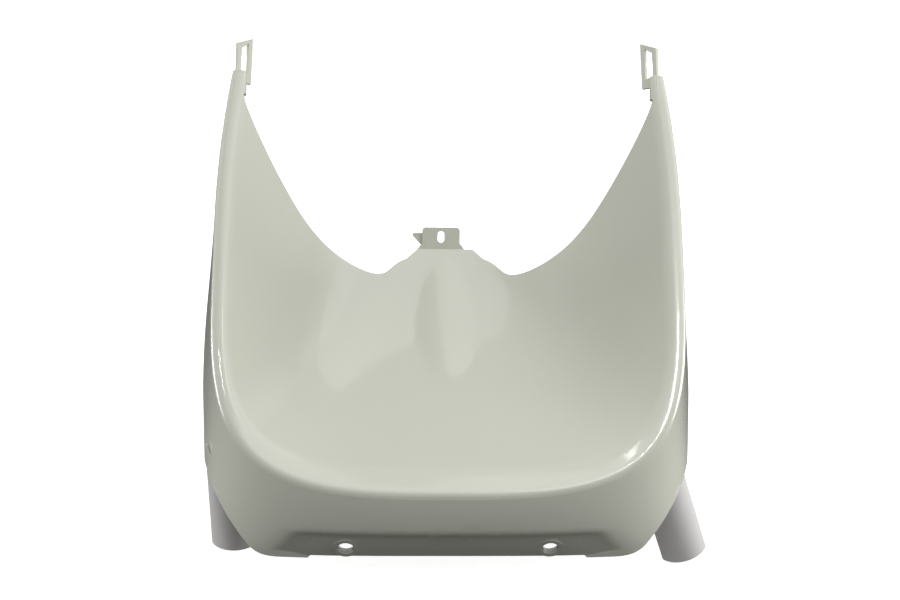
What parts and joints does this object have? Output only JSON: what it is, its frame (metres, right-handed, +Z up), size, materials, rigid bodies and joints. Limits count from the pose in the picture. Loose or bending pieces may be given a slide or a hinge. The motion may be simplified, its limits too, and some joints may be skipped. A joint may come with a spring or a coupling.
{
  "type": "scooter front panel",
  "caption": "Glossy off-white moulded scooter front panel: a deep scoop inside a raised border, an outer apron, side horns with clip loops, a slotted tab and a lip with bolt holes.",
  "frame": {"origin": "midpoint of the two bolt holes in the front lip, on the lip's front face", "axes": "+X across the panel, -Y out of the front of the lip towards the viewer, +Z up; the panel leans back 53 degrees from level"},
  "size_m": [0.3991, 0.2324, 0.3751],
  "materials": {
    "panel": "glossy off-white moulded plastic, plain and unprinted, duller on the inner side"
  },
  "bodies": {
    "root": {"front_panel": "panel"}
  },
  "joints": []
}
